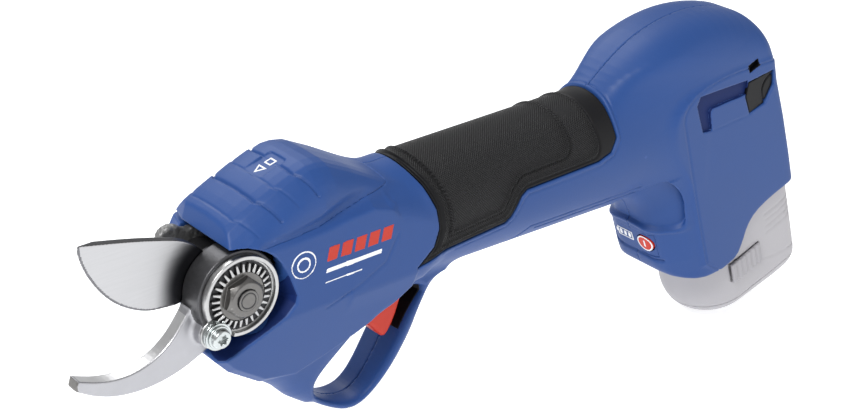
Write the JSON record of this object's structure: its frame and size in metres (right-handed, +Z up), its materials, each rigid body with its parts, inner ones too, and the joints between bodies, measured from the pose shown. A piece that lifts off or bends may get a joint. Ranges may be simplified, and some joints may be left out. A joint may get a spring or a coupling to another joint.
{
  "type": "battery electric pruner",
  "caption": "Pistol-less inline battery pruner: bypass blade and hook, finger loop with trigger, soft-grip handle and a leaning rear head that takes a slide-in pack.",
  "frame": {"origin": "middle of the footprint at the lowest point of the battery pack", "axes": "-X towards the blades, +X towards the battery pack, -Y the side with the pivot nut, +Z up"},
  "size_m": [0.374, 0.0512, 0.1547],
  "materials": {
    "blue_housing": "fine moulded grain",
    "soft_grip": "fine dotted texture",
    "black_plastic": "satin",
    "red_plastic": "satin",
    "blade_steel": "brushed",
    "dark_steel": "blackened",
    "bright_steel": "zinc plated",
    "cast_metal": "cast",
    "motor_steel": "satin",
    "bronze": "turned",
    "circuit_board": "solder mask",
    "lens": "smoked",
    "pack_plastic": "fine moulded grain",
    "latch_plastic": "satin",
    "cell_wrap": "shrink sleeve"
  },
  "bodies": {
    "housing": {"housing_left": "blue_housing", "housing_right": "blue_housing", "head_cover": "blue_housing", "control_panel": "blue_housing", "grip_overmould": "soft_grip", "strap_insert_left": "black_plastic", "strap_insert_right": "black_plastic", "trigger_switch": "black_plastic", "contact_block": "black_plastic", "motor_end_cap": "black_plastic", "hook_blade": "blade_steel", "pivot_nut": "dark_steel", "pivot_bolt": "dark_steel", "lock_plate": "dark_steel", "ring_gear": "dark_steel", "pivot_disc": "bright_steel", "lock_screw": "bright_steel", "lock_washer": "bright_steel", "trigger_pin": "bright_steel", "pinion_bearing": "bright_steel", "housing_screws": "bright_steel", "gear_frame": "cast_metal", "gearbox_case": "cast_metal", "gearbox_cover": "cast_metal", "motor_can": "motor_steel", "motor_magnets": "motor_steel", "pivot_bush": "bronze", "control_board": "circuit_board", "gauge_board": "circuit_board", "status_lens": "lens", "gauge_lens": "lens"},
    "blade": {"cutting_blade": "blade_steel", "blade_gear": "dark_steel"},
    "pinion": {"drive_pinion": "dark_steel"},
    "rotor": {"motor_rotor": "motor_steel"},
    "finger_trigger": {"trigger": "red_plastic"},
    "switch_button": {"power_button": "red_plastic"},
    "battery": {"battery_shell": "pack_plastic", "battery_base": "pack_plastic", "battery_cells": "cell_wrap", "battery_contacts": "bronze"},
    "latch_left": {"battery_latch_left": "latch_plastic"},
    "latch_right": {"battery_latch_right": "latch_plastic"}
  },
  "joints": [
    {"name": "blade_pivot", "type": "hinge", "parent": "housing", "child": "blade", "pos_m": [-0.12462, 0, 0.11099], "axis": [0, -1, 0], "range_deg": [0, 50]},
    {"name": "pinion_spin", "type": "hinge", "parent": "housing", "child": "pinion", "pos_m": [-0.10462, 0.0033, 0.11099], "axis": [-1, 0, 0], "range_deg": [0, 250]},
    {"name": "rotor_spin", "type": "hinge", "parent": "housing", "child": "rotor", "pos_m": [-0.06462, 0.0033, 0.11099], "axis": [-1, 0, 0], "range_deg": [0, 1000]},
    {"name": "trigger_pull", "type": "hinge", "parent": "housing", "child": "finger_trigger", "pos_m": [-0.05562, 0, 0.08649], "axis": [0, -1, 0], "range_deg": [0, 8], "stiffness_Nm_per_rad": 0.5, "springref_deg": -8.59},
    {"name": "power_press", "type": "slide", "parent": "housing", "child": "switch_button", "axis": [0.9563, 0, 0.2924], "range_m": [0, 0.0008], "stiffness_N_per_m": 600, "springref_m": -0.0005},
    {"name": "battery_slide", "type": "slide", "parent": "housing", "child": "battery", "axis": [0.2924, 0, -0.9563], "range_m": [0, 0.075]},
    {"name": "latch_left_press", "type": "slide", "parent": "battery", "child": "latch_left", "axis": [0, 1, 0], "range_m": [0, 0.0018], "stiffness_N_per_m": 800, "springref_m": -0.0005},
    {"name": "latch_right_press", "type": "slide", "parent": "battery", "child": "latch_right", "axis": [0, -1, 0], "range_m": [0, 0.0018], "stiffness_N_per_m": 800, "springref_m": -0.0005}
  ],
  "couplings": [
    {"joint": "pinion_spin", "follows": "blade_pivot", "ratio": 5},
    {"joint": "rotor_spin", "follows": "blade_pivot", "ratio": 20}
  ]
}
